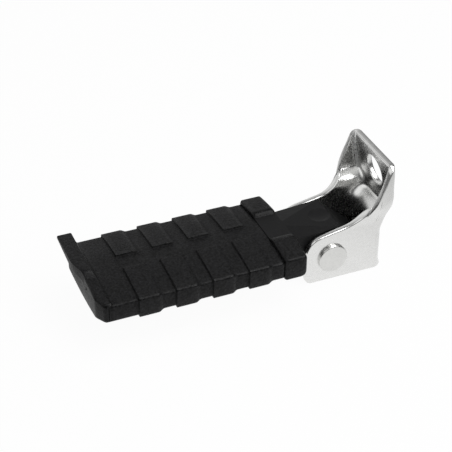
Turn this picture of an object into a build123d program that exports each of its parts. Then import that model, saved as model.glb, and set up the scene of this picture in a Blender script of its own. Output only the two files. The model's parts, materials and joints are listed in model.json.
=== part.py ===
"""Folding foot peg: a rubber tread on a core whose tongue is riveted into a pressed clevis bracket.

Millimetres. The origin is the centre of the bolt hole on the bracket's mounting face. +X points at the
vehicle, so the peg points along -X; +Y is the far side from the rivet's head; +Z is up; the tread is level.
"""
from build123d import *
from math import cos, radians, sin, tan
import os

os.makedirs("parts", exist_ok=True)

# Bracket: pressed sheet, two ears, a joggled web and a wider cup that takes the bolt
sheet = 2.5
bolt_hole_diameter = 13.0
web_tilt = 10.2
cup_half_width = 15.5
cup_top = 10.4
cup_top_radius = 4.5
pin_to_hole_x = 26.4
pin_to_hole_z = 29.0
ear_gap = 21.6
ear_nose_radius = 11.7
ear_below_pin = 10.8
ear_heel_radius = 3.0
ear_rise_angle = 11.0
ear_throat_radius = 15.0
ear_throat_x = 13.8
cup_lip_angle = 72.0
web_to_pin = 20.6
web_flare = 0.9
web_flare_height = 5.0
joggle_start = 9.0
joggle_height = 7.0
ear_spread_start = 15.5
ear_spread_height = 5.5
bend_radius = 2.0
joggle_softening = 3.5
bend_extra_inside = 3.0
bend_extra_outside = 4.5
bend_extra_start = 3.0
flare_section_count = 4
joggle_section_count = 16
cup_section_count = 4
trim = 1.0

# Rivet and what it carries
rivet_diameter = 8.0
rivet_clearance = 0.05
rivet_head_diameter = 12.4
rivet_head_height = 1.8
rivet_head_chamfer = 0.5
rivet_tail_diameter = 11.0
rivet_tail_height = 2.2
tail_washer_diameter = 14.0
tail_washer_thickness = 1.0
bush_wall = 1.5
bush_clearance = 0.02
washer_diameter = 16.0
washer_thickness = 1.0
cone_washer_thickness = 0.5
side_clearance = 0.3
washer_play = 0.05

# Core: the tongue between the ears and the plate inside the rubber
tongue_top = 10.3
tongue_flat = 4.2
tongue_nose_drop = 4.3
tongue_nose_run = 4.3
eye_wall = 3.5
heel_height = 5.5
heel_below_pin = 2.0
heel_corner_margin = 1.0
stop_gap = 0.1
recess_margin = 0.3
shoulder_inner_half_width = 1.6
shoulder_drop_angle = 9.3
dish_radius = 18.0
dish_depth = 0.6
plate_half_width = 14.0
plate_thickness = 4.0
plate_bottom = 3.0
plate_end_cover = 6.0
plate_inner_cover = 1.6
key_hole_diameter = 8.0
key_hole_count = 3

# Tread: heights are above the underside of the pads
tread_above_pin = 2.1
tread_width = 46.0
pad_count = 4
pad_pitch = 15.1
pad_length = 9.1
pad_edge = 9.1
pad_crown = 11.2
pad_chamfer = 0.5
channel_width = 8.5
base_inset = 0.7
base_edge = 8.4
base_crown = 10.2
flange_setback = 15.9
flange_length = 9.5
flange_rise = 0.8
flange_side = 0.1
flange_heel_radius = 2.6
notch_width = 15.0
end_gap = 10.7
end_wall = 5.0
end_belly = 1.0
end_edge = 8.8
end_crown = 10.9
end_corner_x = 2.4
end_corner_y = 5.5
lip_rise = 1.8
lip_overhang = 2.3
lip_inner_lean = 1.4
lip_start = 1.5
lip_undercut = 6.0

# Places that follow from the sizes above
pin_x = -pin_to_hole_x
pin_z = -pin_to_hole_z
ear_half_gap = ear_gap / 2
tread_bottom = pin_z + tread_above_pin
tongue_half_width = ear_half_gap - side_clearance
flange_inner_x = pin_x - flange_setback
flange_outer_x = flange_inner_x - flange_length
first_pad_x = flange_outer_x - pad_count * pad_pitch
end_inner_x = first_pad_x - end_gap
end_outer_x = end_inner_x - end_wall
tongue_top_z = tread_bottom + tongue_top
flare_end = web_flare_height - ear_below_pin
cup_height = pin_to_hole_z + cup_top
rivet_axis = Axis((pin_x, 0, pin_z), (0, 1, 0))
rivet_plane = Plane(origin=(pin_x, 0, pin_z), x_dir=(0, 1, 0), z_dir=(1, 0, 0))
side_plane = Plane(origin=(pin_x, 0, pin_z), x_dir=(1, 0, 0), z_dir=(0, -1, 0))


def turned(outline):
    """A piece turned about the rivet's axis from (y, radius) points."""
    with BuildPart() as piece:
        with BuildSketch(rivet_plane):
            with BuildLine():
                Polyline(*outline, close=True)
            make_face()
        revolve(axis=rivet_axis)
    return piece


def smooth_step(height, start, span):
    """Rise from 0 to 1 over a span of heights, level at both ends."""
    share = min(max((height - start) / span, 0), 1)
    return share * share * (3 - 2 * share)


# Bracket: level U sections from the ears' lower edge to the top of the cup, inside and outside of the sheet
ear_step = cup_half_width - ear_half_gap


def u_section(height, left, outside):
    """One U section at a height above the pin, open on the left, drawn as a closed D."""
    skin = sheet if outside else 0
    soft = joggle_softening if outside else 0
    foot_x = web_to_pin + skin
    cup_x = pin_to_hole_x - (sheet - skin) / cos(radians(web_tilt))
    cup_x -= (height - pin_to_hole_z) * tan(radians(web_tilt))
    joggle = smooth_step(height, joggle_start - soft, joggle_height + 2 * soft)
    flare = max(flare_end - height, 0) / web_flare_height
    x = foot_x + (cup_x - foot_x) * joggle + web_flare * flare ** 2
    spread = smooth_step(height, ear_spread_start - soft, ear_spread_height + 2 * soft)
    half = ear_half_gap + skin + ear_step * spread
    bend_extra = bend_extra_outside if outside else bend_extra_inside
    swell = smooth_step(height, bend_extra_start, cup_height - bend_extra_start)
    radius = bend_radius + skin + bend_extra * 4 * swell * (1 - swell)
    with BuildSketch(Plane((pin_x, 0, pin_z + height))) as section:
        with BuildLine():
            Line((left, -half), (x - radius, -half))
            RadiusArc((x - radius, -half), (x, radius - half), -radius)
            Line((x, radius - half), (x, half - radius))
            RadiusArc((x, half - radius), (x - radius, half), -radius)
            Line((x - radius, half), (left, half))
            Line((left, half), (left, -half))
        make_face()
    return section.sketch


def spaced(low, high, count):
    """Heights from low up to, but not including, high."""
    return [low + (high - low) * step / count for step in range(count)]


joggle_foot = joggle_start - joggle_softening
joggle_top = ear_spread_start + ear_spread_height + joggle_softening
section_heights = spaced(-ear_below_pin - trim, flare_end, flare_section_count)
section_heights += [flare_end]
section_heights += spaced(joggle_foot, joggle_top, joggle_section_count)
section_heights += spaced(joggle_top, cup_height, cup_section_count)
section_heights += [cup_height + trim]
reach = pin_to_hole_x + 2 * ear_throat_radius


def u_block(left, outside):
    """The U sections joined up: flared foot, straight ears, joggle and leaning cup."""
    with BuildPart() as block:
        loft([u_section(height, left, outside) for height in section_heights], ruled=True)
    return block.part


with BuildPart() as bracket:
    add(u_block(-2 * ear_nose_radius, True))
    add(u_block(-3 * ear_nose_radius, False), mode=Mode.SUBTRACT)
    # side outline of the ears and the cup's flanges
    with BuildSketch(side_plane):
        rise = radians(ear_rise_angle)
        lean = radians(cup_lip_angle)
        nose_end = (-ear_nose_radius * sin(rise), ear_nose_radius * cos(rise))
        throat = (ear_throat_x, nose_end[1] + (ear_throat_x - nose_end[0]) * tan(rise))
        cup_edge = (throat[0] + (cup_height - throat[1]) / tan(lean), cup_height)
        with BuildLine():
            FilletPolyline(
                (reach, -ear_below_pin), (-ear_nose_radius, -ear_below_pin), (-ear_nose_radius, 0),
                radius=ear_heel_radius,
            )
            RadiusArc((-ear_nose_radius, 0), nose_end, ear_nose_radius)
            FilletPolyline(nose_end, throat, cup_edge, radius=ear_throat_radius)
            Polyline(cup_edge, (reach, cup_height), (reach, -ear_below_pin))
        make_face()
    extrude(amount=2 * cup_half_width, both=True, mode=Mode.INTERSECT)
    # top corners of the cup, seen along the peg
    with BuildSketch(Plane.YZ):
        cup_outer = cup_half_width + sheet
        low = pin_z - 2 * ear_below_pin
        with BuildLine():
            FilletPolyline(
                (-cup_outer, low), (-cup_outer, cup_top), (cup_outer, cup_top), (cup_outer, low),
                radius=cup_top_radius,
            )
            Line((cup_outer, low), (-cup_outer, low))
        make_face()
    extrude(amount=2 * reach, both=True, mode=Mode.INTERSECT)
    # bolt hole square to the web, rivet holes through both ears
    web_plane = Plane(origin=(0, 0, 0), z_dir=(cos(radians(web_tilt)), 0, sin(radians(web_tilt))))
    with BuildSketch(web_plane):
        Circle(bolt_hole_diameter / 2)
    extrude(amount=3 * sheet, both=True, mode=Mode.SUBTRACT)
    with BuildSketch(side_plane):
        Circle(rivet_diameter / 2 + rivet_clearance)
    extrude(amount=2 * cup_half_width, both=True, mode=Mode.SUBTRACT)

# Rivet, bush and washers, all on the rivet's axis
ear_outer = ear_half_gap + sheet
shank = rivet_diameter / 2
head = rivet_head_diameter / 2
tail = rivet_tail_diameter / 2
tail_seat = ear_outer + tail_washer_thickness
hinge_rivet = turned([
    (-ear_outer - rivet_head_height, 0),
    (-ear_outer - rivet_head_height, head - rivet_head_chamfer),
    (-ear_outer - rivet_head_height + rivet_head_chamfer, head),
    (-ear_outer, head),
    (-ear_outer, shank),
    (tail_seat, shank),
    (tail_seat, tail),
    (tail_seat + rivet_tail_height / 2, tail),
    (tail_seat + rivet_tail_height, shank),
    (tail_seat + rivet_tail_height, 0),
])

bore = shank + rivet_clearance
tail_washer = turned([
    (ear_outer, bore), (ear_outer, tail_washer_diameter / 2),
    (tail_seat, tail_washer_diameter / 2), (tail_seat, bore),
])

washer_space = washer_thickness + 2 * washer_play
recess_floor = ear_half_gap - washer_space
eye_bush = turned([
    (-recess_floor, bore), (-recess_floor, bore + bush_wall),
    (recess_floor, bore + bush_wall), (recess_floor, bore),
])

washer_outer = washer_diameter / 2
thrust_face = ear_half_gap - washer_play
thrust_washer = turned([
    (-thrust_face, bore), (-thrust_face, washer_outer),
    (washer_thickness - thrust_face, washer_outer), (washer_thickness - thrust_face, bore),
])

cone_inner_face = recess_floor + washer_play
cone_outer_face = ear_half_gap - washer_play
cone_washer = turned([
    (cone_inner_face, washer_outer), (cone_inner_face + cone_washer_thickness, washer_outer),
    (cone_outer_face, bore), (cone_outer_face - cone_washer_thickness, bore),
])

# Core: side outline of the tongue from inside the rubber to the heel that stops on the lower web
eye_radius = bore + bush_wall + bush_clearance
tongue_low = eye_radius + eye_wall
top = tongue_top_z - pin_z
stop_x = web_to_pin - stop_gap
plate_z = tread_above_pin + plate_bottom
heel_corner = bend_radius + heel_corner_margin
with BuildPart() as peg_core:
    with BuildSketch(side_plane) as tongue_outline:
        with BuildLine():
            Polyline(
                (-flange_setback - flange_length, top),
                (tongue_flat, top),
                (tongue_flat + tongue_nose_run, top - tongue_nose_drop),
                (stop_x, -heel_below_pin),
                (stop_x, -heel_below_pin - heel_height),
                (stop_x - eye_wall, -tongue_low),
                (0, -tongue_low),
                (-tongue_low, 0),
                (-flange_setback, plate_z),
                (-flange_setback - flange_length, plate_z),
                close=True,
            )
        make_face()
    extrude(amount=tongue_half_width, both=True)
    # round the underside of the eye
    with BuildSketch(side_plane):
        Circle(tongue_low)
    extrude(amount=tongue_half_width, both=True)
    # heel corners clear of the bends between the ears and the web
    for side in (1, -1):
        with BuildSketch(Plane((pin_x, 0, pin_z - tongue_low))):
            with BuildLine():
                corner = side * tongue_half_width
                Polyline(
                    (stop_x - heel_corner, corner), (stop_x, corner), (stop_x, corner - side * heel_corner),
                    close=True,
                )
            make_face()
        extrude(amount=tongue_low + top, mode=Mode.SUBTRACT)
    # sloping shoulders of the tongue, narrow at the flange and gone at the nose
    slope_length = flange_setback + tongue_flat
    for side in (1, -1):
        start = Vector(flange_inner_x, side * shoulder_inner_half_width, tongue_top_z)
        finish = Vector(pin_x + tongue_flat, side * tongue_half_width, tongue_top_z)
        along = (finish - start).normalized()
        outward = Vector(-along.Y, along.X, 0) * side
        drop = radians(shoulder_drop_angle)
        down = outward * cos(drop) - Vector(0, 0, sin(drop))
        up = outward * sin(drop) + Vector(0, 0, cos(drop))
        edge = tongue_half_width * 2
        skew = edge * abs(down.X) / along.X
        with BuildSketch(Plane(origin=start, x_dir=along, z_dir=up)):
            with BuildLine():
                Polyline(
                    (0, 0), (slope_length * 2, 0), (slope_length * 2, edge * side), (skew, edge * side),
                    close=True,
                )
            make_face()
        extrude(amount=tongue_top, mode=Mode.SUBTRACT)
    # shallow dish over the eye
    with Locations((pin_x, 0, tongue_top_z + dish_radius - dish_depth)):
        Sphere(dish_radius, mode=Mode.SUBTRACT)
    # plate inside the rubber, with holes that the rubber grips
    plate_left = end_outer_x + plate_end_cover
    plate_length = flange_inner_x - plate_inner_cover - plate_left
    plate_centre_x = plate_left + plate_length / 2
    with BuildSketch(Plane.XY.offset(tread_bottom + plate_bottom)):
        with Locations((plate_centre_x, 0)):
            RectangleRounded(plate_length, 2 * plate_half_width, plate_thickness)
    extrude(amount=plate_thickness)
    with BuildSketch(Plane.XY.offset(tread_bottom + plate_bottom)):
        with Locations((plate_centre_x, 0)):
            with GridLocations(pad_pitch, 0, key_hole_count, 1):
                Circle(key_hole_diameter / 2)
    extrude(amount=plate_thickness, mode=Mode.SUBTRACT)
    # eye for the bush, spot faces for the washers
    with BuildSketch(side_plane):
        Circle(eye_radius)
    extrude(amount=tongue_half_width, both=True, mode=Mode.SUBTRACT)
    for side in (1, -1):
        with BuildSketch(side_plane.offset(side * recess_floor)):
            Circle(washer_outer + recess_margin)
        extrude(amount=side * washer_space, mode=Mode.SUBTRACT)


# Tread
def crown_section(x, half_width, low, edge, crown, chamfer_size):
    """Cross-section of the tread: flat underside, upright sides, crowned top with chamfered edges."""
    with BuildSketch(Plane.YZ.offset(x)) as section:
        with BuildLine():
            left = (-half_width + chamfer_size, tread_bottom + edge)
            right = (half_width - chamfer_size, tread_bottom + edge)
            ThreePointArc(left, (0, tread_bottom + crown), right)
            Polyline(
                right,
                (half_width, tread_bottom + edge - chamfer_size),
                (half_width, tread_bottom + low),
                (-half_width, tread_bottom + low),
                (-half_width, tread_bottom + edge - chamfer_size),
                left,
            )
        make_face()
    return section.sketch


half_tread = tread_width / 2
with BuildPart() as pads:
    for index in range(pad_count):
        pad_x = first_pad_x + index * pad_pitch
        pad_section = crown_section(pad_x, half_tread, 0, pad_edge, pad_crown, pad_chamfer)
        extrude(pad_section, amount=pad_length)
    with BuildSketch(Plane.XY.offset(tread_bottom - end_belly)):
        with Locations(((first_pad_x + flange_outer_x) / 2, 0)):
            Rectangle(2 * pad_count * pad_pitch, channel_width)
    extrude(amount=2 * pad_crown, mode=Mode.SUBTRACT)

with BuildPart() as tread:
    base_half = half_tread - base_inset
    base_section = crown_section(end_inner_x, base_half, base_inset, base_edge, base_crown, pad_chamfer)
    extrude(base_section, amount=flange_outer_x - end_inner_x)
    add(pads.part)
    # end wall with a bellied underside and cut front and back corners
    with BuildSketch(Plane.YZ.offset(end_outer_x)):
        with BuildLine():
            left = (-half_tread + base_inset, tread_bottom + base_inset)
            right = (half_tread - base_inset, tread_bottom + base_inset)
            top_left = (left[0], tread_bottom + end_edge)
            top_right = (right[0], tread_bottom + end_edge)
            ThreePointArc(top_left, (0, tread_bottom + end_crown), top_right)
            Line(top_right, right)
            ThreePointArc(right, (0, tread_bottom - end_belly), left)
            Line(left, top_left)
        make_face()
    extrude(amount=end_wall)
    for side in (1, -1):
        with BuildSketch(Plane.XY.offset(tread_bottom - end_belly)):
            with BuildLine():
                corner = side * (half_tread - base_inset)
                Polyline(
                    (end_outer_x, corner - side * end_corner_y), (end_outer_x + end_corner_x, corner),
                    (end_outer_x, corner), close=True,
                )
            make_face()
        extrude(amount=2 * pad_crown, mode=Mode.SUBTRACT)
    # raised lip along the far half of the end wall
    lip_top = tread_bottom + pad_crown + lip_rise
    with BuildSketch(Plane.XZ.offset(lip_start)):
        with BuildLine():
            Polyline(
                (end_outer_x - lip_overhang, lip_top - pad_chamfer),
                (end_outer_x - lip_overhang + pad_chamfer, lip_top),
                (end_inner_x - lip_inner_lean, lip_top),
                (end_inner_x, tread_bottom + base_edge),
                (end_outer_x, lip_top - lip_undercut),
                close=True,
            )
        make_face()
    extrude(amount=-(lip_start + half_tread))
    # inner flange, notched over the tongue
    with BuildPart(mode=Mode.PRIVATE) as flange:
        flange_section = crown_section(
            flange_outer_x, half_tread + flange_side, -flange_side,
            pad_edge + flange_rise, pad_crown + flange_rise, pad_chamfer,
        )
        extrude(flange_section, amount=flange_length)
        inner_face = flange.faces().sort_by(Axis.X)[-1]
        fillet(inner_face.edges().sort_by(Axis.Z)[0], flange_heel_radius)
        with BuildSketch(Plane.XY.offset(tongue_top_z)):
            with Locations((flange_outer_x + flange_length / 2, 0)):
                Rectangle(2 * flange_length, notch_width)
        extrude(amount=flange_rise + pad_crown, mode=Mode.SUBTRACT)
    add(flange.part)
    add(peg_core.part, mode=Mode.SUBTRACT)

pieces = {
    "bracket": bracket,
    "hinge_rivet": hinge_rivet,
    "tail_washer": tail_washer,
    "eye_bush": eye_bush,
    "thrust_washer": thrust_washer,
    "cone_washer": cone_washer,
    "peg_core": peg_core,
    "tread": tread,
}
for name, piece in pieces.items():
    piece.part.label = name
    export_step(piece.part, f"parts/{name}.step")
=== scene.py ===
"""Folding foot peg: a moulded rubber tread on a black core, riveted into a bright pressed-steel clevis.

Sizes are in millimetres and measured from the rivet's axis unless a name says otherwise: x runs towards the
vehicle, y away from the rivet's flat head, z up. MM turns them into the frame's metres.
"""
import json
from math import cos, hypot, pi, radians, sin, sqrt, tan

import bmesh
import bpy
from mathutils import Matrix, Vector


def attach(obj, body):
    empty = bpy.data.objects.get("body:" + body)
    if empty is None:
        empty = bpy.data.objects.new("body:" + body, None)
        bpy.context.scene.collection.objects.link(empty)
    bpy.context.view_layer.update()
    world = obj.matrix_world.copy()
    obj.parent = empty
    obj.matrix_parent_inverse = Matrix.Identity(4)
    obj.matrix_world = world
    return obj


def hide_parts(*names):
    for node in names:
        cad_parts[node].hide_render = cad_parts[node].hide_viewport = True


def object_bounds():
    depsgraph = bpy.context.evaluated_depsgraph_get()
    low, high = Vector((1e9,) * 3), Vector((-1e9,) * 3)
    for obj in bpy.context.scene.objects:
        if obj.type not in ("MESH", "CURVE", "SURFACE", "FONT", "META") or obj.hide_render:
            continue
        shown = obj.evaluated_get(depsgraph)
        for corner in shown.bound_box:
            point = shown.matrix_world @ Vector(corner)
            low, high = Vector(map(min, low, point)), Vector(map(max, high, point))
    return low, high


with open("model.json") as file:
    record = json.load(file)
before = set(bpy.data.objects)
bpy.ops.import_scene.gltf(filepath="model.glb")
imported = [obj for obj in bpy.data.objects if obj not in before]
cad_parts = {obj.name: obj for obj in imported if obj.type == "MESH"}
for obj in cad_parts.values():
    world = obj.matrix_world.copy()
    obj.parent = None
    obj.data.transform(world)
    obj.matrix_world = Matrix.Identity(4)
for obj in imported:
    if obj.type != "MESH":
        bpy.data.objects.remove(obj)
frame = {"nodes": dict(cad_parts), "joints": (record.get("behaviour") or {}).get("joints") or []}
cad_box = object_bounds()

MM = 0.001
PIN = Vector(frame["joints"][0]["pos_m"]) / MM

# Bracket, as pressed. A nose fullness of 2 is a round nose, and a higher one is squarer at its corner
SHEET = 2.5
WEB_X = 20.6
WEB_TILT = radians(10.2)
WEB_FLARE = 0.9
WEB_FLARE_HEIGHT = 5.0
CUP_HALF_WIDTH = 15.5
CUP_TOP = 39.4
CUP_TOP_RADIUS = 4.5
CUP_LIP_LEAN = radians(72)
EAR_HALF_GAP = 10.8
EAR_NOSE_RADIUS = 11.7
EAR_NOSE_FULLNESS = 3.0
EAR_BELOW_PIN = 10.8
EAR_HEEL_RADIUS = 3.0
EAR_RISE = radians(11)
EAR_THROAT_RADIUS = 15.0
EAR_THROAT_X = 13.8
RIM_RADIUS = 0.6

# Its step from ears to cup. Inside, the step is a round shoulder, which starts SHOULDER_DROP lower, is as
# round as SHOULDER_POWER says and ends in a crisp corner, SHOULDER_SHY below the top of the step
JOGGLE_START = 9.0
JOGGLE_HEIGHT = 7.0
JOGGLE_SOFTENING = 3.5
EAR_SPREAD_START = 15.5
EAR_SPREAD_HEIGHT = 5.5
EAR_SHOULDER_LIFT = 1.2
SHOULDER_POWER = 2.6
SHOULDER_DROP = 1.9
SHOULDER_SHY = 0.9

# Its bends between ears and web, wider at the joggle. The middle of a bend stands in from the corner
BEND_RADIUS = 2.0
BEND_EXTRA_INSIDE = 3.0
BEND_EXTRA_OUTSIDE = 4.5
BEND_EXTRA_START = 3.0
BEND_EXTRA_INSIDE_END = 22.0
BEND_MIDDLE_DEPTH = BEND_RADIUS * (1 - cos(pi / 4))

# Its holes. The bolt hole is the frame's origin
BOLT_HOLE = -PIN
BOLT_HOLE_RADIUS = 6.5
BOLT_HOLE_RIM = 0.4
RIVET_HOLE_RADIUS = 4.05
RIVET_HOLE_RIM = 0.2

# Mesh of its sheet: columns along one ear, round a bend and across the web, and rows from edge to edge.
# A hole takes out a block of the mesh, and the rings round the block spread out with it
EAR_COLUMNS = 80
BEND_COLUMNS = 12
WEB_COLUMNS = 36
SHEET_COLUMNS = 2 * (EAR_COLUMNS + BEND_COLUMNS) + WEB_COLUMNS
MIDDLE_COLUMN = SHEET_COLUMNS // 2
SHEET_ROWS = 72
NOSE_CROWDING = 0.6
OUTLINE_HALVINGS = 30
RIM_STEPS = 8
RIM_SQUARENESS = 0.7
HOLE_SPREAD = 1.5
BOLT_HOLE_BLOCK = (9, 9)
RIVET_HOLE_BLOCK = (11, 13)
MERGE = 0.002

# Rivet
RIVET_RADIUS = 4.0
RIVET_HEAD_RADIUS = 6.2
RIVET_HEAD_HEIGHT = 1.3
RIVET_HEAD_ROUND = 0.45
RIVET_TAIL_RADIUS = 5.5
RIVET_TAIL_HEIGHT = 2.2
TAIL_WASHER_THICKNESS = 1.0
RIVET_ROUND_STEPS = 5
RIVET_SPIN_STEPS = 72
RIVET_SHARP = radians(40)

# Tread: heights are above the underside of the pads, and TREAD_BOTTOM is that underside
TREAD_BOTTOM = 2.1
TREAD_HALF_WIDTH = 23.0
PAD_COUNT = 4
PAD_PITCH = 15.1
PAD_LENGTH = 9.1
PAD_EDGE = 9.1
PAD_CROWN = 11.2
CHANNEL_HALF_WIDTH = 4.25
BASE_INSET = 0.7
BASE_EDGE = 8.4
BASE_CROWN = 10.2
FLANGE_INNER_X = -15.9
FLANGE_LENGTH = 9.5
FLANGE_RISE = 0.8
FLANGE_SIDE = 0.1
FLANGE_HEEL_RADIUS = 2.6
NOTCH_HALF_WIDTH = 7.5
TONGUE_TOP = 10.3
END_GAP = 10.7
END_WALL = 5.0
END_BELLY = 1.0
END_EDGE = 8.8
END_CROWN = 11.2
END_CORNER_X = 2.4
END_CORNER_Y = 5.5
LIP_RISE = 1.8
LIP_OVERHANG = 2.3
LIP_INNER_LEAN = 1.4
LIP_END = -7.0
LIP_RISE_SPAN = 4.0
LIP_OVERHANG_SPAN = 13.0
LIP_SPACING = 1.0
LIP_SHARP = radians(25)
LIP_UNDERCUT = 6.0
LIP_NEAR_DEPTH = 4.5
LIP_FAR_DEPTH = 1.2
LIP_CORNERS = ("outer edge", "inner edge", "inner foot", "undercut", "outer foot")
MOULD_ROUND = 1.1
LIP_ROUND = 0.5
PAD_WALL = 0.35
PAD_SLOPE = 2.4
LOFT_SPACING = 2.0
CORNER_STEPS = 4
FLANGE_OUTER_X = FLANGE_INNER_X - FLANGE_LENGTH
FIRST_PAD_X = FLANGE_OUTER_X - PAD_COUNT * PAD_PITCH
END_INNER_X = FIRST_PAD_X - END_GAP
END_OUTER_X = END_INNER_X - END_WALL

# Mesh of its shells: stops across a pad's wall, up a side and across the end wall, and how far a shell
# reaches into the next, so that no faces of two shells lie in one plane
WALL_STOPS = (-0.9, -0.5, -0.25, 0, 0.25, 0.5, 0.9)
SIDE_STOPS = (0, 0.5, 1)
END_STOPS = (-1, -0.5, 0, 0.5, 1)
EMBED = 1.0
NOTCH_SINK = 0.3
LIP_SINK = 0.2
WALL_SHY = 0.06

# Floor: places are from the bolt hole. What shines sees a painted pool of light on the paper, white round
# the part and darker further out. The whiteness leaves the rest of the paper to show the shadow
FLOOR_HALF = 2500
FLOOR_GAP = 0.2
FLOOR_WHITENESS = 0.96
POOL_CENTRE = (-60, -10)
POOL_NEAR = 50
POOL_FAR = 260
POOL_EDGE = 0.15

# Studio: even fill, and for what shines dark walls with bright cards. A card has its direction, the cosines
# from there at which it fades out and is full, and its brightness
STUDIO_FILL = 0.3
STUDIO_WALL = 0.12
STUDIO_CARDS = [
    ((-0.3, 0.9, 0.0), 0.3, 0.95, 0.75),
    ((-0.65, -0.15, 0.7), 0.8, 0.97, 0.9),
]

# Softboxes: name, place from the bolt hole, target, side and watts
SOFTBOXES = [
    ("top_softbox", (200, -100, 600), (-60, 0, -20), 550, 2.7),
    ("front_softbox", (200, -460, 400), (-60, 0, -20), 220, 0.9),
]

# Camera: place from the bolt hole, turns in degrees
CAMERA_PLACE = (-237.85, -403.4, 297.07)
CAMERA_TURN = -22.9
CAMERA_RISE = 35.14
CAMERA_ROLL = 0.319
CAMERA_LENS = 108.08
CAMERA_NEAR = 10


def to_frame(point):
    """A point in millimetres from the rivet's axis, in the frame's metres."""
    return (PIN + Vector(point)) * MM


def ease(value, start, span):
    """Rise from 0 to 1 over a span, level at both ends."""
    share = min(max((value - start) / span, 0), 1)
    return share * share * (3 - 2 * share)


def end_rounding(distance, radius):
    """How far a surface draws in at a distance from a rounded end."""
    return radius - sqrt(radius * radius - max(radius - distance, 0) ** 2)


def linear(hex_colour):
    """An sRGB hex colour as linear RGBA."""
    parts = [int(hex_colour[i:i + 2], 16) / 255 for i in (1, 3, 5)]
    return [p / 12.92 if p <= 0.04045 else ((p + 0.055) / 1.055) ** 2.4 for p in parts] + [1]


def add_node(tree, kind, settings=None, inputs=None):
    """Add one node: settings are its own properties, inputs are values or other nodes' outputs."""
    node = tree.nodes.new(kind)
    for name, value in (settings or {}).items():
        setattr(node, name, value)
    for name, value in (inputs or {}).items():
        if isinstance(value, bpy.types.NodeSocket):
            tree.links.new(value, node.inputs[name])
        else:
            node.inputs[name].default_value = value
    return node


def new_material(name):
    """An empty material with its node tree and output."""
    material = bpy.data.materials.new(name)
    material.use_nodes = True
    material.node_tree.nodes.clear()
    output = add_node(material.node_tree, "ShaderNodeOutputMaterial")
    return material, material.node_tree, output


def chrome_plate():
    """Bright chrome on pressed steel: a mirror softened by the press's faint waves and fine pits.

    The pits are drawn coarser than real ones, so that they show. Deep in the cup's two inner corners the
    plating is thin, and a dull, grainy bead shows there.
    """
    wave_length = 5.0 * MM
    pit_size = 0.9 * MM
    bead_core = 0.4 * MM
    bead_rim = 0.9 * MM
    material, tree, output = new_material("bright_chrome_plate")
    place = add_node(tree, "ShaderNodeTexCoord").outputs["Object"]
    wave = add_node(tree, "ShaderNodeTexNoise", inputs={
        "Vector": place, "Scale": 1 / wave_length, "Detail": 2.0, "Roughness": 0.5,
    })
    pits = add_node(tree, "ShaderNodeTexNoise", inputs={
        "Vector": place, "Scale": 1 / pit_size, "Detail": 4.0, "Roughness": 0.6,
    })
    wave_bump = add_node(tree, "ShaderNodeBump", inputs={
        "Strength": 0.12, "Distance": 0.12 * MM, "Height": wave.outputs["Fac"],
    })
    bump = add_node(tree, "ShaderNodeBump", inputs={
        "Strength": 0.12, "Distance": 0.015 * MM, "Height": pits.outputs["Fac"],
        "Normal": wave_bump.outputs["Normal"],
    })
    rough = add_node(tree, "ShaderNodeMapRange", inputs={
        "Value": pits.outputs["Fac"], "From Min": 0.3, "From Max": 0.75, "To Min": 0.18, "To Max": 0.34,
    })
    tint = add_node(tree, "ShaderNodeMix", {"data_type": "RGBA"}, {
        "Factor": pits.outputs["Fac"], "A": linear("#D0D0CE"), "B": linear("#F4F4F3"),
    })
    axes = add_node(tree, "ShaderNodeSeparateXYZ", inputs={"Vector": place}).outputs
    side = add_node(tree, "ShaderNodeMath", {"operation": "ABSOLUTE"}, {0: axes["Y"]})
    folded = add_node(tree, "ShaderNodeCombineXYZ", inputs={
        "X": axes["X"], "Y": side.outputs["Value"], "Z": axes["Z"],
    })
    bead_x = -SHEET / cos(WEB_TILT) - BEND_MIDDLE_DEPTH
    bead_y = CUP_HALF_WIDTH - BEND_MIDDLE_DEPTH
    offset = add_node(tree, "ShaderNodeVectorMath", {"operation": "SUBTRACT"}, {
        0: folded.outputs["Vector"], 1: Vector((bead_x, bead_y, 0)) * MM,
    })
    beside = add_node(tree, "ShaderNodeVectorMath", {"operation": "CROSS_PRODUCT"}, {
        0: offset.outputs["Vector"], 1: (-sin(WEB_TILT), 0, cos(WEB_TILT)),
    })
    gap = add_node(tree, "ShaderNodeVectorMath", {"operation": "LENGTH"}, {0: beside.outputs["Vector"]})
    bead = add_node(tree, "ShaderNodeMapRange", inputs={
        "Value": gap.outputs["Value"], "From Min": bead_core, "From Max": bead_rim,
        "To Min": 1.0, "To Max": 0.0,
    })
    grainy = add_node(tree, "ShaderNodeMapRange", inputs={
        "Value": pits.outputs["Fac"], "From Min": 0.35, "From Max": 0.5,
    })
    dull = add_node(tree, "ShaderNodeMath", {"operation": "MULTIPLY"}, {
        0: bead.outputs["Result"], 1: grainy.outputs["Result"],
    })
    metal = add_node(tree, "ShaderNodeMapRange", inputs={
        "Value": dull.outputs["Value"], "To Min": 1.0, "To Max": 0.0,
    })
    blend = add_node(tree, "ShaderNodeMix", {"data_type": "FLOAT"}, {
        "Factor": dull.outputs["Value"], "A": rough.outputs["Result"], "B": 0.6,
    })
    shader = add_node(tree, "ShaderNodeBsdfPrincipled", inputs={
        "Base Color": tint.outputs["Result"], "Metallic": metal.outputs["Result"],
        "Roughness": blend.outputs["Result"], "Normal": bump.outputs["Normal"],
    })
    tree.links.new(shader.outputs["BSDF"], output.inputs["Surface"])
    return material


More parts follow.
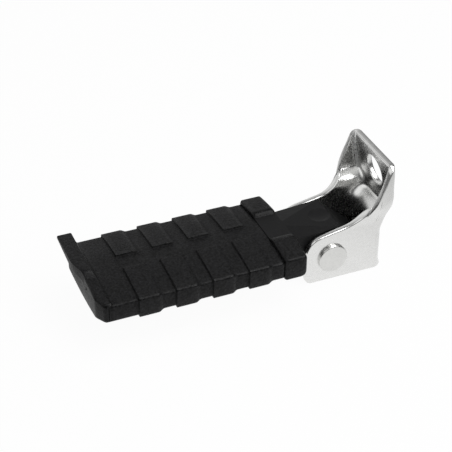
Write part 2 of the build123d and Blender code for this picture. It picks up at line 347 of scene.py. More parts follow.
def zinc_plate():
    """Zinc-plated rivet steel: a pale, slightly milky grey with a faint cloudy grain."""
    cloud_size = 2.0 * MM
    material, tree, output = new_material("zinc_plated_rivet_steel")
    place = add_node(tree, "ShaderNodeTexCoord").outputs["Object"]
    cloud = add_node(tree, "ShaderNodeTexNoise", inputs={
        "Vector": place, "Scale": 1 / cloud_size, "Detail": 5.0, "Roughness": 0.65,
    })
    tint = add_node(tree, "ShaderNodeMix", {"data_type": "RGBA"}, {
        "Factor": cloud.outputs["Fac"], "A": linear("#C6C6C4"), "B": linear("#EDEDEB"),
    })
    rough = add_node(tree, "ShaderNodeMapRange", inputs={
        "Value": cloud.outputs["Fac"], "From Min": 0.3, "From Max": 0.75, "To Min": 0.25, "To Max": 0.42,
    })
    bump = add_node(tree, "ShaderNodeBump", inputs={
        "Strength": 0.3, "Distance": 0.08 * MM, "Height": cloud.outputs["Fac"],
    })
    shader = add_node(tree, "ShaderNodeBsdfPrincipled", inputs={
        "Base Color": tint.outputs["Result"], "Metallic": 1.0, "Roughness": rough.outputs["Result"],
        "Normal": bump.outputs["Normal"],
    })
    tree.links.new(shader.outputs["BSDF"], output.inputs["Surface"])
    return material


def moulded_rubber():
    """Moulded black rubber: near black, hardly any sheen, and the fine grain of a spark-eroded mould.

    The grain is drawn coarser than a real one, so that it shows. The rounded edges are smoother and catch a
    little more light.
    """
    grain_size = 0.9 * MM
    bloom_size = 9.0 * MM
    material, tree, output = new_material("moulded_black_rubber")
    place = add_node(tree, "ShaderNodeTexCoord").outputs["Object"]
    grain = add_node(tree, "ShaderNodeTexNoise", inputs={
        "Vector": place, "Scale": 1 / grain_size, "Detail": 4.0, "Roughness": 0.6,
    })
    bloom = add_node(tree, "ShaderNodeTexNoise", inputs={
        "Vector": place, "Scale": 1 / bloom_size, "Detail": 3.0, "Roughness": 0.55,
    })
    pointed = add_node(tree, "ShaderNodeNewGeometry").outputs["Pointiness"]
    edge = add_node(tree, "ShaderNodeMapRange", inputs={
        "Value": pointed, "From Min": 0.5, "From Max": 0.54, "To Min": 1.0, "To Max": 0.42,
    })
    bump = add_node(tree, "ShaderNodeBump", inputs={
        "Strength": edge.outputs["Result"], "Distance": 0.25 * MM, "Height": grain.outputs["Fac"],
    })
    rough = add_node(tree, "ShaderNodeMapRange", inputs={
        "Value": bloom.outputs["Fac"], "From Min": 0.3, "From Max": 0.7, "To Min": 0.46, "To Max": 0.58,
    })
    smoothed = add_node(tree, "ShaderNodeMath", {"operation": "MULTIPLY"}, {
        0: rough.outputs["Result"], 1: edge.outputs["Result"],
    })
    speckle = add_node(tree, "ShaderNodeMapRange", inputs={
        "Value": grain.outputs["Fac"], "From Min": 0.35, "From Max": 0.65,
    })
    tint = add_node(tree, "ShaderNodeMix", {"data_type": "RGBA"}, {
        "Factor": speckle.outputs["Result"], "A": linear("#0B0B0B"), "B": linear("#232324"),
    })
    shader = add_node(tree, "ShaderNodeBsdfPrincipled", inputs={
        "Base Color": tint.outputs["Result"], "Roughness": smoothed.outputs["Value"],
        "Specular IOR Level": 0.13, "Normal": bump.outputs["Normal"],
    })
    tree.links.new(shader.outputs["BSDF"], output.inputs["Surface"])
    return material


def coated_core():
    """Black coated core: a satin coat over a cast surface, a little shinier than the rubber.

    The grain of the casting is drawn coarse, so that it shows.
    """
    cast_grain = 1.6 * MM
    material, tree, output = new_material("black_coated_core")
    place = add_node(tree, "ShaderNodeTexCoord").outputs["Object"]
    cast = add_node(tree, "ShaderNodeTexNoise", inputs={
        "Vector": place, "Scale": 1 / cast_grain, "Detail": 5.0, "Roughness": 0.6,
    })
    bump = add_node(tree, "ShaderNodeBump", inputs={
        "Strength": 0.4, "Distance": 0.12 * MM, "Height": cast.outputs["Fac"],
    })
    rough = add_node(tree, "ShaderNodeMapRange", inputs={
        "Value": cast.outputs["Fac"], "From Min": 0.3, "From Max": 0.7, "To Min": 0.42, "To Max": 0.55,
    })
    tint = add_node(tree, "ShaderNodeMix", {"data_type": "RGBA"}, {
        "Factor": cast.outputs["Fac"], "A": linear("#101010"), "B": linear("#1E1E1F"),
    })
    shader = add_node(tree, "ShaderNodeBsdfPrincipled", inputs={
        "Base Color": tint.outputs["Result"], "Roughness": rough.outputs["Result"],
        "Specular IOR Level": 0.15, "Normal": bump.outputs["Normal"],
    })
    tree.links.new(shader.outputs["BSDF"], output.inputs["Surface"])
    return material


def turned_brass():
    """Turned brass of the bush: warm yellow with rings from the lathe, drawn coarse so that they show.

    A wave texture repeats about three times in its unit of length, so the rings stand 2 mm apart.
    """
    wave_unit = 6.0 * MM
    material, tree, output = new_material("turned_brass")
    place = add_node(tree, "ShaderNodeTexCoord").outputs["Object"]
    rings = add_node(tree, "ShaderNodeTexWave", {"bands_direction": "Y"}, {
        "Vector": place, "Scale": 1 / wave_unit, "Distortion": 0.6, "Detail": 2.0,
    })
    rough = add_node(tree, "ShaderNodeMapRange", inputs={
        "Value": rings.outputs["Fac"], "To Min": 0.25, "To Max": 0.38,
    })
    tint = add_node(tree, "ShaderNodeMix", {"data_type": "RGBA"}, {
        "Factor": rings.outputs["Fac"], "A": linear("#C89F58"), "B": linear("#DCB878"),
    })
    shader = add_node(tree, "ShaderNodeBsdfPrincipled", inputs={
        "Base Color": tint.outputs["Result"], "Metallic": 1.0, "Roughness": rough.outputs["Result"],
    })
    tree.links.new(shader.outputs["BSDF"], output.inputs["Surface"])
    return material


def add_piece(name, shape, material, body, node):
    """A finished mesh as an object that rides on a body and stands for a CAD node."""
    mesh = bpy.data.meshes.new(name)
    shape.to_mesh(mesh)
    shape.free()
    mesh.shade_smooth()
    mesh.materials.append(material)
    piece = bpy.data.objects.new(name, mesh)
    bpy.context.scene.collection.objects.link(piece)
    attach(piece, body)
    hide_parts(node)
    return piece


# Bracket
def step_out(height, start, span, outside):
    """The sheet's step from ears to cup: soft outside, a round shoulder under a crisp corner inside."""
    if outside:
        return ease(height, start - JOGGLE_SOFTENING, span + 2 * JOGGLE_SOFTENING)
    share = (height - start + SHOULDER_DROP) / (span + SHOULDER_DROP - SHOULDER_SHY)
    return min(max(share, 0), 1) ** SHOULDER_POWER


def web_face_x(height, outside):
    """The web's face: upright foot with a flare, joggle, leaning cup."""
    skin = SHEET if outside else 0
    foot_x = WEB_X + skin
    cup_x = BOLT_HOLE.x - (SHEET - skin) / cos(WEB_TILT) - (height - BOLT_HOLE.z) * tan(WEB_TILT)
    joggle = step_out(height, JOGGLE_START, JOGGLE_HEIGHT, outside)
    flare = max(WEB_FLARE_HEIGHT - EAR_BELOW_PIN - height, 0) / WEB_FLARE_HEIGHT
    return foot_x + (cup_x - foot_x) * joggle + WEB_FLARE * flare ** 2


def half_width(height, outside):
    """Half the distance between the ears' faces, wider in the cup."""
    skin = SHEET if outside else 0
    lift = 0 if outside else EAR_SHOULDER_LIFT
    spread = step_out(height, EAR_SPREAD_START + lift, EAR_SPREAD_HEIGHT, outside)
    return EAR_HALF_GAP + skin + (CUP_HALF_WIDTH - EAR_HALF_GAP) * spread


def bend_radius(height, outside):
    """Radius of the bend between ear and web, largest at the joggle."""
    end = CUP_TOP if outside else BEND_EXTRA_INSIDE_END
    swell = ease(height, BEND_EXTRA_START, end - BEND_EXTRA_START)
    extra = BEND_EXTRA_OUTSIDE if outside else BEND_EXTRA_INSIDE
    return BEND_RADIUS + (SHEET if outside else 0) + 4 * extra * swell * (1 - swell)


def sheet_point(column, height, outside):
    """One column of the sheet's mesh at a height: front ear, bend, web, bend, rear ear."""
    side = 1 if column > MIDDLE_COLUMN else -1
    step = MIDDLE_COLUMN - abs(column - MIDDLE_COLUMN)
    face_x = web_face_x(height, outside)
    half = half_width(height, outside)
    radius = bend_radius(height, outside)
    if step <= EAR_COLUMNS:
        share = step / EAR_COLUMNS
        nose_x = RIM_RADIUS - EAR_NOSE_RADIUS
        run = NOSE_CROWDING * share * share + (1 - NOSE_CROWDING) * share
        return Vector((nose_x + (face_x - radius - nose_x) * run, side * half, height))
    if step <= EAR_COLUMNS + BEND_COLUMNS:
        turn = (step - EAR_COLUMNS) / BEND_COLUMNS * pi / 2
        y = half - radius * (1 - cos(turn))
        return Vector((face_x - radius * (1 - sin(turn)), side * y, height))
    across = (MIDDLE_COLUMN - step) / (WEB_COLUMNS / 2)
    return Vector((face_x, side * across * (half - radius), height))


def nose_top(x, nose):
    """Upper edge of an ear's nose: a squared-off arc, just tall enough to run into the rising edge."""
    power = EAR_NOSE_FULLNESS
    tall = (1 - sin(EAR_RISE) ** (power / (power - 1))) ** (1 - 1 / power) / cos(EAR_RISE)
    return nose * tall * max(1 - abs(x / nose) ** power, 0) ** (1 / power)


def outline_top(x):
    """Upper edge over the unrolled sheet: nose, rising edge, throat, leaning lip, rounded cup top."""
    nose = EAR_NOSE_RADIUS - RIM_RADIUS
    if x < -nose * sin(EAR_RISE) ** (1 / (EAR_NOSE_FULLNESS - 1)):
        return nose_top(x, nose)
    rise_side = Vector((sin(EAR_RISE), -cos(EAR_RISE)))
    lip_side = Vector((sin(CUP_LIP_LEAN), -cos(CUP_LIP_LEAN)))
    throat = Vector((EAR_THROAT_X, EAR_NOSE_RADIUS / cos(EAR_RISE) + EAR_THROAT_X * tan(EAR_RISE)))
    throat += RIM_RADIUS * (rise_side + lip_side) / (1 + rise_side.dot(lip_side))
    radius = EAR_THROAT_RADIUS + RIM_RADIUS
    reach = radius * tan((CUP_LIP_LEAN - EAR_RISE) / 2)
    if x < throat.x - reach * cos(EAR_RISE):
        return throat.y + (x - throat.x) * tan(EAR_RISE)
    if x > throat.x + reach * cos(CUP_LIP_LEAN):
        top = CUP_TOP - RIM_RADIUS
        corner = CUP_TOP_RADIUS - RIM_RADIUS
        along = x - throat.x - (top - throat.y) / tan(CUP_LIP_LEAN)
        tangent = corner * tan(CUP_LIP_LEAN / 2)
        if along < -tangent * cos(CUP_LIP_LEAN):
            return top + along * tan(CUP_LIP_LEAN)
        return top - end_rounding(along + corner - tangent, corner)
    centre = throat - reach * Vector((cos(EAR_RISE), sin(EAR_RISE))) - radius * rise_side
    return centre.y - sqrt(radius * radius - (x - centre.x) ** 2)


def unrolled_x(column, height, outside):
    """How far along the sheet a column stands, with bend and web rolled out flat beside the ear."""
    step = MIDDLE_COLUMN - abs(column - MIDDLE_COLUMN)
    x = sheet_point(min(step, EAR_COLUMNS), height, outside).x
    turn = min(max(step - EAR_COLUMNS, 0) / BEND_COLUMNS, 1) * pi / 2
    across = max(step - EAR_COLUMNS - BEND_COLUMNS, 0) / (WEB_COLUMNS / 2) * CUP_HALF_WIDTH
    return x + turn * (bend_radius(height, False) + SHEET / 2) + across


def in_outline(x, height):
    """Whether a place on the unrolled sheet lies in its outline, drawn in by the rounding of the edge."""
    nose = EAR_NOSE_RADIUS - RIM_RADIUS
    foot = EAR_BELOW_PIN - RIM_RADIUS
    heel = EAR_HEEL_RADIUS - RIM_RADIUS
    if x < heel - nose and height < heel - foot:
        return hypot(x - heel + nose, height - heel + foot) <= heel
    return -foot <= height <= outline_top(x)


def column_end(column, inside_height, outside_height, outside):
    """The height where a column meets the outline, found by halving."""
    for _ in range(OUTLINE_HALVINGS):
        middle = (inside_height + outside_height) / 2
        if in_outline(unrolled_x(column, middle, outside), middle):
            inside_height = middle
        else:
            outside_height = middle
    return inside_height


def sheet_face(shape, outside):
    """One face of the sheet, as a grid that ends on the outline: its vertices by column and row."""
    grid = bmesh.ops.create_grid(shape, x_segments=SHEET_COLUMNS, y_segments=SHEET_ROWS, size=1)
    at = {}
    for vert in grid["verts"]:
        column = round((vert.co.x + 1) / 2 * SHEET_COLUMNS)
        row = round((vert.co.y + 1) / 2 * SHEET_ROWS)
        at[column, row] = vert
    for column in range(SHEET_COLUMNS + 1):
        low = column_end(column, -RIM_RADIUS, -2 * EAR_BELOW_PIN, outside)
        high = column_end(column, -RIM_RADIUS, 2 * CUP_TOP, outside)
        for row in range(SHEET_ROWS + 1):
            height = low + (high - low) * row / SHEET_ROWS
            at[column, row].co = to_frame(sheet_point(column, height, outside))
    return at


def border(first, last):
    """Keys round a block of the grid, once each and in order."""
    keys = [(column, first[1]) for column in range(first[0], last[0])]
    keys += [(last[0], row) for row in range(first[1], last[1])]
    keys += [(column, last[1]) for column in range(last[0], first[0], -1)]
    keys += [(first[0], row) for row in range(last[1], first[1], -1)]
    return keys


def open_hole(shape, at, centre, axis, radius, block):
    """Open a round hole: a block of the grid goes, the rings round it move out. Returns the hole's loop."""
    column, row = min(at, key=lambda key: (at[key].co - centre).length)
    inside = []
    for key, vert in at.items():
        ring = max(abs(key[0] - column) / block[0], abs(key[1] - row) / block[1])
        if ring < 1:
            inside.append(vert)
        elif ring < HOLE_SPREAD:
            offset = vert.co - centre
            offset -= offset.dot(axis) * axis
            share = (ring - 1) / (HOLE_SPREAD - 1)
            vert.co += offset.normalized() * (radius - offset.length) * (1 - share)
    keys = border((column - block[0], row - block[1]), (column + block[0], row + block[1]))
    loop = [at[key].co.copy() for key in keys]
    bmesh.ops.delete(shape, geom=inside, context="VERTS")
    return loop


def rim(shape, inner, outer, bulge):
    """A rounded edge between matching loops of the sheet's faces. A negative bulge goes into a hole."""
    count = len(inner)
    grid = bmesh.ops.create_grid(shape, x_segments=count, y_segments=RIM_STEPS, size=1)
    for vert in grid["verts"]:
        place = round((vert.co.x + 1) / 2 * count) % count
        turn = (vert.co.y + 1) / 2 * pi
        through = outer[place] - inner[place]
        along = inner[(place + 1) % count] - inner[place - 1]
        outward = along.cross(through).normalized()
        flat = abs(cos(turn)) ** RIM_SQUARENESS
        share = (1 - flat if turn < pi / 2 else 1 + flat) / 2
        vert.co = inner[place] + through * share + outward * bulge * abs(sin(turn)) ** RIM_SQUARENESS


def build_bracket(material):
    """The pressed clevis: two faces of sheet, joined round their outline and round their holes."""
    shape = bmesh.new()
    web_axis = Vector((cos(WEB_TILT), 0, sin(WEB_TILT)))
    outlines = []
    bolt_holes = []
    rivet_holes = {1: [], -1: []}
    for outside in (False, True):
        skin = SHEET if outside else 0
        at = sheet_face(shape, outside)
        keys = border((0, 0), (SHEET_COLUMNS, SHEET_ROWS))
        outlines.append([at[key].co.copy() for key in keys])
        centre = to_frame(BOLT_HOLE) - (SHEET - skin) * MM * web_axis
        radius = (BOLT_HOLE_RADIUS + BOLT_HOLE_RIM) * MM
        bolt_holes.append(open_hole(shape, at, centre, web_axis, radius, BOLT_HOLE_BLOCK))
        at = {key: vert for key, vert in at.items() if vert.is_valid}
        for side in (1, -1):
            centre = to_frame(Vector((0, side * (EAR_HALF_GAP + skin), 0)))
            radius = (RIVET_HOLE_RADIUS + RIVET_HOLE_RIM) * MM
            hole = open_hole(shape, at, centre, Vector((0, side, 0)), radius, RIVET_HOLE_BLOCK)
            rivet_holes[side].append(hole)
            at = {key: vert for key, vert in at.items() if vert.is_valid}
    rim(shape, *outlines, RIM_RADIUS * MM)
    rim(shape, *bolt_holes, -BOLT_HOLE_RIM * MM)
    for side in (1, -1):
        rim(shape, *rivet_holes[side], -RIVET_HOLE_RIM * MM)
    bmesh.ops.remove_doubles(shape, verts=shape.verts, dist=MERGE * MM)
    bmesh.ops.recalc_face_normals(shape, faces=shape.faces)
    add_piece("bracket_sheet", shape, material, "bracket", "bracket")


# Rivet
def build_rivet(material):
    """Flat-headed rivet with rounded edges and a closed tail, spun about its own axis."""
    ear_face = EAR_HALF_GAP + SHEET
    tail_seat = ear_face + TAIL_WASHER_THICKNESS
    head_top = -ear_face - RIVET_HEAD_HEIGHT
    profile = [(head_top, 0), (head_top, RIVET_HEAD_RADIUS - 2 * RIVET_HEAD_ROUND)]
    for step in range(RIVET_ROUND_STEPS + 1):
        turn = step / RIVET_ROUND_STEPS * pi / 2
        profile.append((
            head_top + RIVET_HEAD_ROUND * (1 - cos(turn)),
            RIVET_HEAD_RADIUS - RIVET_HEAD_ROUND * (1 - sin(turn)),
        ))
    profile += [(-ear_face, RIVET_HEAD_RADIUS), (-ear_face, RIVET_RADIUS)]
    profile += [(tail_seat, RIVET_RADIUS), (tail_seat, RIVET_TAIL_RADIUS)]
    for step in range(RIVET_ROUND_STEPS + 1):
        turn = step / RIVET_ROUND_STEPS * pi / 2
        profile.append((tail_seat + RIVET_TAIL_HEIGHT * sin(turn), RIVET_TAIL_RADIUS * cos(turn)))
    shape = bmesh.new()
    verts = [shape.verts.new(to_frame(Vector((radius, y, 0)))) for y, radius in profile]
    edges = [shape.edges.new(pair) for pair in zip(verts, verts[1:])]
    bmesh.ops.spin(
        shape, geom=verts + edges, cent=PIN * MM, axis=(0, 1, 0), angle=2 * pi,
        steps=RIVET_SPIN_STEPS, use_merge=True,
    )
    bmesh.ops.remove_doubles(shape, verts=shape.verts, dist=MERGE * MM)
    bmesh.ops.recalc_face_normals(shape, faces=shape.faces)
    piece = add_piece("rivet", shape, material, "bracket", "hinge_rivet")
    piece.data.set_sharp_from_angle(angle=RIVET_SHARP)


# Tread
def rounded_ring(tops, bottoms, sides):
    """Spots round a rounded box: (across, up) of the inner box, then the corner's direction from there."""
    turns = [step / CORNER_STEPS * pi / 2 for step in range(1, CORNER_STEPS)]
    ring = [(across, 1, 0, 1) for across in tops]
    ring += [(1, 1, sin(turn), cos(turn)) for turn in turns]
    ring += [(1, up, 1, 0) for up in reversed(sides)]
    ring += [(1, 0, cos(turn), -sin(turn)) for turn in turns]
    ring += [(across, 0, 0, -1) for across in reversed(bottoms)]
    ring += [(-1, 0, -sin(turn), -cos(turn)) for turn in turns]
    ring += [(-1, up, -1, 0) for up in sides]
    ring += [(-1, 1, -cos(turn), sin(turn)) for turn in turns]
    return ring


def ring_point(spot, half, low, edge, crown, rounding):
    """A ring's spot on a box of these sizes with a crowned top, as distances across and up."""
    across, up, out, rise = spot
    top = crown - (crown - edge) * across * across
    height = (low + rounding) * (1 - up) + (top - rounding) * up
    return across * (half - rounding) + out * rounding, height + rise * rounding


def lofted(shape, stations, ring, place):
    """A closed shell: place(station, spot) gives the points of its rings."""
    grid = bmesh.ops.create_grid(shape, x_segments=len(stations) - 1, y_segments=len(ring), size=1)
    for vert in grid["verts"]:
        station = stations[round((vert.co.x + 1) / 2 * (len(stations) - 1))]
        spot = ring[round((vert.co.y + 1) / 2 * len(ring)) % len(ring)]
        vert.co = to_frame(place(station, spot))
    bmesh.ops.remove_doubles(shape, verts=grid["verts"], dist=MERGE * MM)
    open_edges = [edge for edge in shape.edges if edge.is_boundary]
    bmesh.ops.holes_fill(shape, edges=open_edges, sides=0)


def eased_stops(walls, low, high, spacing):
    """Places from low to high: a few across each (place, width) wall, and even steps in between."""
    stops = {low, high}
    for wall, width in walls:
        stops.update(wall + share * width for share in WALL_STOPS)
    stops = sorted(stops)
    filled = []
    for start, finish in zip(stops, stops[1:]):
        count = max(1, round((finish - start) / spacing))
        filled += [start + (finish - start) * step / count for step in range(count)]
    return filled + [stops[-1]]


def rounded_stops(low, high, radius, spacing):
    """Places from low to high, close together where both ends are rounded."""
    stops = [radius * (1 - cos(step / CORNER_STEPS * pi / 2)) for step in range(CORNER_STEPS + 1)]
    count = max(1, round((high - low - 2 * radius) / spacing))
    middle = [low + radius + (high - low - 2 * radius) * step / count for step in range(1, count)]
    return [low + stop for stop in stops] + middle + [high - stop for stop in reversed(stops)]


def pad_share(x, y):
    """1 on a pad, 0 on the base between the pads and in the channel, eased across the pads' walls."""
    along = 0
    for index in range(PAD_COUNT):
        start = FIRST_PAD_X + index * PAD_PITCH
        rise = ease(x, start - PAD_WALL / 2, PAD_WALL)
        fall = ease(x, start + PAD_LENGTH - PAD_SLOPE / 2, PAD_SLOPE)
        along = max(along, rise - fall)
    return along * ease(abs(y), CHANNEL_HALF_WIDTH - PAD_WALL / 2, PAD_WALL)


def tread_body(shape):
    """The crowned slab with two rows of pads that wrap round its sides to the underside."""
    starts = [FIRST_PAD_X + index * PAD_PITCH for index in range(PAD_COUNT)]
    walls = [(start, PAD_WALL) for start in starts]
    walls += [(start + PAD_LENGTH, PAD_SLOPE) for start in starts]
    stations = eased_stops(walls, END_INNER_X - EMBED, FLANGE_OUTER_X + EMBED, LOFT_SPACING)
    inner = TREAD_HALF_WIDTH - MOULD_ROUND
    channel = [(CHANNEL_HALF_WIDTH / inner * side, PAD_WALL / inner) for side in (-1, 1)]
    across = eased_stops(channel, -1, 1, LOFT_SPACING / inner)
    ring = rounded_ring(across, across, SIDE_STOPS)

    def place(x, spot):
        share = pad_share(x, spot[0] * inner)
        base_half = TREAD_HALF_WIDTH - BASE_INSET
        base = ring_point(spot, base_half, BASE_INSET, BASE_EDGE, BASE_CROWN, MOULD_ROUND)
        pad = ring_point(spot, TREAD_HALF_WIDTH, 0, PAD_EDGE, PAD_CROWN, MOULD_ROUND)
        y, z = Vector(base) * (1 - share) + Vector(pad) * share
        return x, y, TREAD_BOTTOM + z

    lofted(shape, stations, ring, place)


def tread_flange(shape):
    """The flange at the tongue, rounded at both ends and notched over the tongue."""
    stations = rounded_stops(FLANGE_OUTER_X, FLANGE_INNER_X, MOULD_ROUND, LOFT_SPACING / 2)
    half = TREAD_HALF_WIDTH + FLANGE_SIDE
    notch = [(NOTCH_HALF_WIDTH / half * side, PAD_WALL / half) for side in (-1, 1)]
    across = eased_stops(notch, -1, 1, LOFT_SPACING / half)
    ring = rounded_ring(across, across, SIDE_STOPS)

    def place(x, spot):
        inner = FLANGE_INNER_X - x
        inset = end_rounding(min(inner, x - FLANGE_OUTER_X), MOULD_ROUND)
        heel = end_rounding(inner, FLANGE_HEEL_RADIUS)
        y, z = ring_point(
            spot, half - inset, max(inset, heel) - FLANGE_SIDE,
            PAD_EDGE + FLANGE_RISE - inset, PAD_CROWN + FLANGE_RISE - inset, MOULD_ROUND,
        )
        if spot[1] == 1 and spot[3] == 1:
            floor = TONGUE_TOP - NOTCH_SINK
            z = floor + (z - floor) * ease(abs(y), NOTCH_HALF_WIDTH - PAD_WALL / 2, PAD_WALL)
        return x, y, TREAD_BOTTOM + z

    lofted(shape, stations, ring, place)


def tread_end(shape):
    """The end wall: a bellied underside, a crowned top and cut corners at its outer face."""
    half = TREAD_HALF_WIDTH - BASE_INSET - WALL_SHY
    stations = rounded_stops(-half, half, MOULD_ROUND, LOFT_SPACING / 2)
    ring = rounded_ring(END_STOPS, END_STOPS, SIDE_STOPS)

    def place(y, spot):
        inset = end_rounding(half - abs(y), MOULD_ROUND)
        bow = (y / half) ** 2
        outer = END_OUTER_X + END_CORNER_X * max(abs(y) - half + END_CORNER_Y, 0) / END_CORNER_Y
        low = BASE_INSET * bow - END_BELLY * (1 - bow) + inset
        top = END_EDGE * bow + END_CROWN * (1 - bow) - inset
        width = (END_INNER_X + EMBED * bow * bow - outer) / 2
        across, z = ring_point(spot, width - inset, low, top, top, MOULD_ROUND)
        return outer + width + across, y, TREAD_BOTTOM + z

    lofted(shape, stations, ring, place)


def tread_lip(shape):
    """The raised lip along the far half of the end wall, leaning out over it and sinking into it."""
    half = TREAD_HALF_WIDTH - BASE_INSET
    count = round((TREAD_HALF_WIDTH - LIP_END) / LIP_SPACING)
    stations = [LIP_END + (TREAD_HALF_WIDTH - LIP_END) * step / count for step in range(count + 1)]

    def place(y, spot):
        rise = ease(y, LIP_END, LIP_RISE_SPAN)
        over = ease(y, LIP_END, LIP_OVERHANG_SPAN)
        bow = (y / half) ** 2
        wall = END_EDGE * bow + END_CROWN * (1 - bow) - LIP_SINK
        top = wall + (PAD_CROWN + LIP_RISE - wall) * rise
        outer = END_OUTER_X + LIP_SINK - (LIP_OVERHANG + LIP_SINK) * over
        inner = END_INNER_X - LIP_SINK * (1 - rise)
        near = (TREAD_HALF_WIDTH - y) / TREAD_HALF_WIDTH
        depth = LIP_FAR_DEPTH + (LIP_NEAR_DEPTH - LIP_FAR_DEPTH) * near
        section = {
            "outer edge": (outer, top),
            "inner edge": (inner - LIP_INNER_LEAN * rise, top),
            "inner foot": (inner, BASE_EDGE),
            "undercut": (END_OUTER_X + LIP_SINK, PAD_CROWN + LIP_RISE - LIP_UNDERCUT),
            "outer foot": (outer, top - depth),
        }
        x, z = section[spot]
        return x, y, TREAD_BOTTOM + z

    old = set(shape.edges)
    lofted(shape, stations, LIP_CORNERS, place)
    sharp = [edge for edge in set(shape.edges) - old if edge.calc_face_angle(0) > LIP_SHARP]
    bmesh.ops.bevel(
        shape, geom=sharp, offset=LIP_ROUND * MM, affect="EDGES", segments=CORNER_STEPS,
        profile=0.5, material=-1,
    )


def build_tread(material):
    """The moulded rubber: slab with pads, inner flange, end wall and lip, as shells of one piece."""
    shape = bmesh.new()
    for part in (tread_body, tread_flange, tread_end, tread_lip):
        part(shape)
    bmesh.ops.recalc_face_normals(shape, faces=shape.faces)
    add_piece("rubber_tread", shape, material, "peg", "tread")


# Stage
def build_floor():
    """Plain white paper floor: the eye sees it white with the shadow kept faint, and the metal sees a
    painted pool of light on it.
    """
    shape = bmesh.new()
    bmesh.ops.create_grid(shape, x_segments=1, y_segments=1, size=FLOOR_HALF * MM)
    bmesh.ops.translate(shape, verts=shape.verts, vec=(0, 0, cad_box[0][2] - FLOOR_GAP * MM))
    mesh = bpy.data.meshes.new("floor")
    shape.to_mesh(mesh)
    shape.free()
    material, tree, output = new_material("white_paper_floor")
    place = add_node(tree, "ShaderNodeTexCoord").outputs["Object"]
    distance = add_node(tree, "ShaderNodeVectorMath", {"operation": "DISTANCE"}, {
        0: place, 1: (POOL_CENTRE[0] * MM, POOL_CENTRE[1] * MM, cad_box[0][2]),
    })
    # Painted light: for reflections the floor glows as a pool, brightest round the part and fading further
    # out
    painted_light_pool = add_node(tree, "ShaderNodeMapRange", inputs={
        "Value": distance.outputs["Value"], "From Min": POOL_NEAR * MM, "From Max": POOL_FAR * MM,
        "To Min": 1.0, "To Max": POOL_EDGE,
    })
    path = add_node(tree, "ShaderNodeLightPath").outputs
    seen = add_node(tree, "ShaderNodeMath", {"operation": "MAXIMUM"}, {
        0: path["Is Camera Ray"], 1: path["Is Glossy Ray"],
    })
    whiteness = add_node(tree, "ShaderNodeMath", {"operation": "MULTIPLY"}, {
        0: seen.outputs["Value"], 1: FLOOR_WHITENESS,
    })
    glow = add_node(tree, "ShaderNodeMath", {"operation": "MAXIMUM"}, {
        0: path["Is Camera Ray"], 1: painted_light_pool.outputs["Result"],
    })
    paper = add_node(tree, "ShaderNodeBsdfDiffuse", inputs={"Color": linear("#F8F8F8")})
    white = add_node(tree, "ShaderNodeEmission", inputs={
        "Color": linear("#FFFFFF"), "Strength": glow.outputs["Value"],
    })
    mixed = add_node(tree, "ShaderNodeMixShader", inputs={
        "Fac": whiteness.outputs["Value"], 1: paper.outputs["BSDF"], 2: white.outputs["Emission"],
    })
    tree.links.new(mixed.outputs["Shader"], output.inputs["Surface"])
    mesh.materials.append(material)
    floor = bpy.data.objects.new("floor", mesh)
    bpy.context.scene.collection.objects.link(floor)


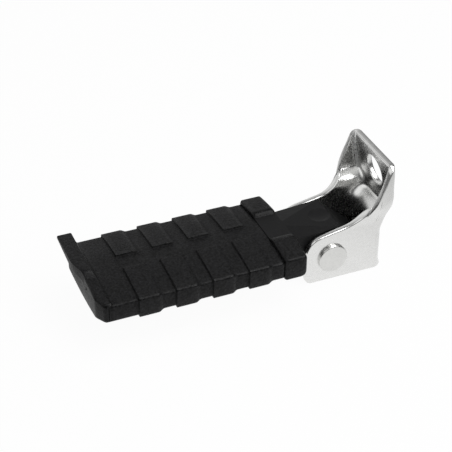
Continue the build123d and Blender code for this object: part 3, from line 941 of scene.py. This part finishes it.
def build_world():
    """White studio: the eye sees it white, its light is even, and what shines sees dark walls and cards."""
    white = linear("#FFFFFF")
    world = bpy.data.worlds.new("studio")
    bpy.context.scene.world = world
    world.use_nodes = True
    tree = world.node_tree
    tree.nodes.clear()
    output = add_node(tree, "ShaderNodeOutputWorld")
    direction = add_node(tree, "ShaderNodeTexCoord").outputs["Generated"]
    total = STUDIO_WALL
    for towards, faded, full, shine in STUDIO_CARDS:
        facing = add_node(tree, "ShaderNodeVectorMath", {"operation": "DOT_PRODUCT"}, {
            0: direction, 1: Vector(towards).normalized(),
        })
        card = add_node(tree, "ShaderNodeMapRange", {"interpolation_type": "SMOOTHSTEP"}, {
            "Value": facing.outputs["Value"], "From Min": faded, "From Max": full,
            "To Min": 0.0, "To Max": shine,
        })
        total = add_node(tree, "ShaderNodeMath", {"operation": "ADD"}, {
            0: total, 1: card.outputs["Result"],
        }).outputs["Value"]
    path = add_node(tree, "ShaderNodeLightPath").outputs
    lit = add_node(tree, "ShaderNodeBackground", inputs={"Color": white, "Strength": STUDIO_FILL})
    mirrored = add_node(tree, "ShaderNodeBackground", inputs={"Color": white, "Strength": total})
    seen = add_node(tree, "ShaderNodeBackground", inputs={"Color": white, "Strength": 1.0})
    glossy = add_node(tree, "ShaderNodeMixShader", inputs={
        "Fac": path["Is Glossy Ray"], 1: lit.outputs["Background"], 2: mirrored.outputs["Background"],
    })
    mixed = add_node(tree, "ShaderNodeMixShader", inputs={
        "Fac": path["Is Camera Ray"], 1: glossy.outputs["Shader"], 2: seen.outputs["Background"],
    })
    tree.links.new(mixed.outputs["Shader"], output.inputs["Surface"])


def add_softbox(name, place, target, side, watts):
    """A square softbox at a place, aimed at a target."""
    light = bpy.data.lights.new(name, "AREA")
    light.size = side * MM
    light.energy = watts
    lamp = bpy.data.objects.new(name, light)
    aim = (Vector(target) - Vector(place)).to_track_quat("-Z", "Y").to_matrix().to_4x4()
    lamp.matrix_world = Matrix.Translation(Vector(place) * MM) @ aim
    bpy.context.scene.collection.objects.link(lamp)


def build_camera():
    """The photograph's view: long lens, from the front left and above."""
    turn = radians(CAMERA_TURN)
    rise = radians(CAMERA_RISE)
    right = Vector((cos(turn), sin(turn), 0))
    back = Vector((sin(turn) * cos(rise), -cos(turn) * cos(rise), sin(rise)))
    up = back.cross(right)
    pose = Matrix((right, up, back)).transposed() @ Matrix.Rotation(radians(CAMERA_ROLL), 3, "Z")
    camera = bpy.data.cameras.new("camera")
    camera.lens = CAMERA_LENS
    camera.clip_start = CAMERA_NEAR * MM
    holder = bpy.data.objects.new("camera", camera)
    holder.matrix_world = Matrix.Translation(Vector(CAMERA_PLACE) * MM) @ pose.to_4x4()
    bpy.context.scene.collection.objects.link(holder)
    bpy.context.scene.camera = holder


def paint_node(name, material):
    """Give a CAD node that stays in view its finish."""
    slots = frame["nodes"][name].data.materials
    slots.clear()
    slots.append(material)


steel = chrome_plate()
rivet_steel = zinc_plate()
build_bracket(steel)
build_rivet(rivet_steel)
build_tread(moulded_rubber())
paint_node("peg_core", coated_core())
paint_node("eye_bush", turned_brass())
for washer in ("tail_washer", "thrust_washer", "cone_washer"):
    paint_node(washer, rivet_steel)
build_floor()
build_world()
for softbox in SOFTBOXES:
    add_softbox(*softbox)
build_camera()
bpy.context.scene.view_settings.view_transform = "Standard"
